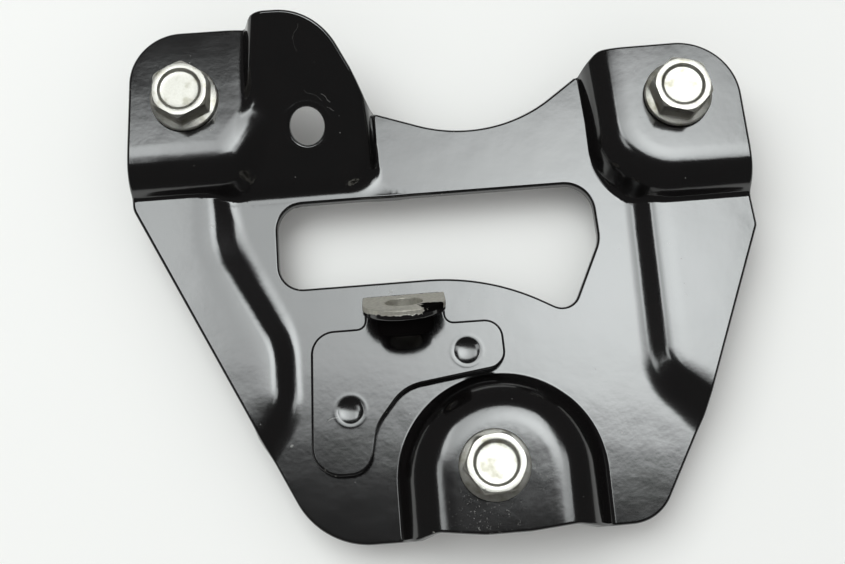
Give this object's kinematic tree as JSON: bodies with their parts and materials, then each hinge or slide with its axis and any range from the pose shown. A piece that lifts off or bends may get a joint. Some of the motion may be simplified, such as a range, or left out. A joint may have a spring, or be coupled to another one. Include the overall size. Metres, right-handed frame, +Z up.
{
  "type": "brake pump bracket",
  "caption": "Pressed steel bracket with raised bolt pads, a long slot, an inclined flap and a folded tab. It carries a motorbike's anti-lock brake pump and holds its flange bolts.",
  "frame": {"origin": "centre of the footprint, on the level where the bolt tips stand", "axes": "+X along the slot towards the ear without the flap, +Y towards the ears, +Z up from the bolt tips to the bolt heads"},
  "size_m": [0.1174, 0.0988, 0.0252],
  "materials": {
    "black_paint": "gloss black paint on pressed steel sheet",
    "tab_paint": "gloss black paint, worn off on the tab's outer face",
    "bright_zinc": "bright zinc plating, slightly warm",
    "nut_paint": "black paint on the outside, bare steel in the thread"
  },
  "bodies": {
    "root": {"main_plate": "black_paint", "tab_bracket": "tab_paint", "tab_weld_nut": "nut_paint", "upper_left_bolt": "bright_zinc", "upper_right_bolt": "bright_zinc", "lower_bolt": "bright_zinc"}
  },
  "joints": []
}
